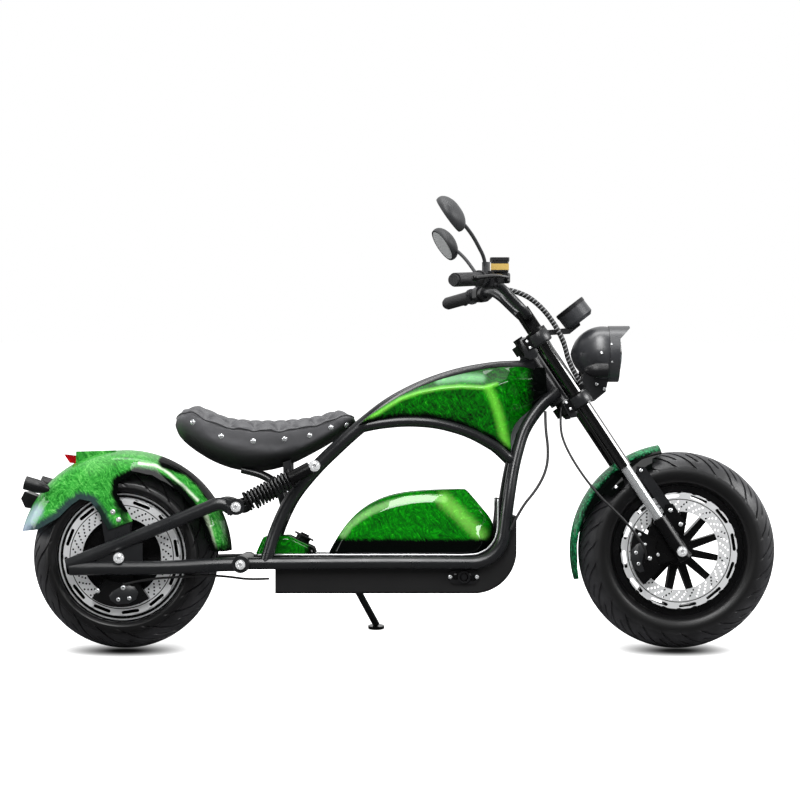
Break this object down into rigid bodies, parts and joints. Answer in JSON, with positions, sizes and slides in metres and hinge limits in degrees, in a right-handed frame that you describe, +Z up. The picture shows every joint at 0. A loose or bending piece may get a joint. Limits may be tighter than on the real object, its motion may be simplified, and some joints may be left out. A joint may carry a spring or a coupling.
{
  "type": "electric chopper motorcycle",
  "caption": "Electric chopper motorcycle with a raked fork, wide tyres, twin-tube frame, deck battery and long curved seat, parked leaning on its side stand.",
  "frame": {"origin": "on the ground, under the middle of the parked motorcycle's bounding box", "axes": "+X forward, +Y to the rider's left, +Z up; the machine leans 8 degrees towards +Y onto its side stand"},
  "size_m": [1.8752, 0.8236, 1.126],
  "materials": {
    "green_paint": "candy gloss",
    "frame_paint": "satin black",
    "black_alloy": "satin black",
    "tyre_rubber": "matt",
    "disc_steel": "ground",
    "bright_steel": "polished",
    "spring_steel": "black gloss",
    "black_plastic": "gloss",
    "grey_panel": "satin",
    "battery_cells": "matt",
    "hose_rubber": "matt",
    "seat_leather": "soft sheen",
    "red_lens": "gloss",
    "clear_glass": "clear",
    "clear_plastic": "clear",
    "mirror": "mirror"
  },
  "bodies": {
    "frame": {"steering_head": "frame_paint", "cradle_tubes": "frame_paint", "top_tubes": "frame_paint", "arch_tubes": "frame_paint", "cross_tubes": "frame_paint", "tank_cover": "green_paint", "inner_panel": "grey_panel", "deck_tray": "frame_paint", "battery_case": "frame_paint", "battery_pack": "battery_cells", "tunnel_cover": "green_paint", "rear_cover": "green_paint", "charge_fittings": "black_plastic", "seat": "seat_leather", "seat_frame": "frame_paint", "swing_arm": "frame_paint", "shock_bodies": "black_alloy", "shock_springs": "spring_steel", "arm_bolts": "bright_steel", "rear_guard": "green_paint", "guard_brackets": "frame_paint", "tail_lamp": "red_lens", "rear_indicators": "black_plastic", "rear_caliper": "black_alloy", "rear_axle": "bright_steel", "stand_bracket": "frame_paint", "frame_hose": "hose_rubber", "rear_brake_hose": "hose_rubber"},
    "fork": {"fork_outers": "black_alloy", "stanchions": "bright_steel", "fork_lugs": "black_alloy", "front_axle": "bright_steel", "top_clamp": "black_alloy", "lower_clamp": "black_alloy", "handlebar": "black_alloy", "grips": "hose_rubber", "bar_controls": "black_plastic", "brake_levers": "black_alloy", "fluid_reservoir": "clear_plastic", "mirror_shells": "black_plastic", "mirror_glass": "mirror", "speedometer": "black_plastic", "headlamp_shell": "black_plastic", "headlamp_lens": "clear_glass", "lamp_brackets": "frame_paint", "front_indicators": "black_plastic", "front_guard": "green_paint", "guard_braces": "frame_paint", "front_caliper": "black_alloy", "front_brake_hose": "hose_rubber", "bar_harness": "hose_rubber"},
    "front_wheel": {"front_tyre": "tyre_rubber", "front_rim": "black_alloy", "front_disc": "disc_steel"},
    "rear_wheel": {"rear_tyre": "tyre_rubber", "rear_rim": "black_alloy", "hub_motor": "black_alloy", "rear_disc": "disc_steel"},
    "side_stand": {"side_stand": "frame_paint"}
  },
  "joints": [
    {"name": "steering", "type": "hinge", "parent": "frame", "child": "fork", "pos_m": [0.3586, -0.04621, 0.66733], "axis": [-0.5519, 0.1161, 0.8258], "range_deg": [-38, 38]},
    {"name": "front_wheel_spin", "type": "hinge", "parent": "fork", "child": "front_wheel", "pos_m": [0.69, -0.10581, 0.24328], "axis": [0, 0.9903, -0.1392], "continuous": true},
    {"name": "rear_wheel_spin", "type": "hinge", "parent": "frame", "child": "rear_wheel", "pos_m": [-0.684, -0.10783, 0.22891], "axis": [0, 0.9903, -0.1392], "continuous": true},
    {"name": "stand_fold", "type": "hinge", "parent": "frame", "child": "side_stand", "pos_m": [-0.13, 0.00559, 0.15929], "axis": [0.0385, 0.8497, 0.5259], "range_deg": [0, 100]}
  ]
}
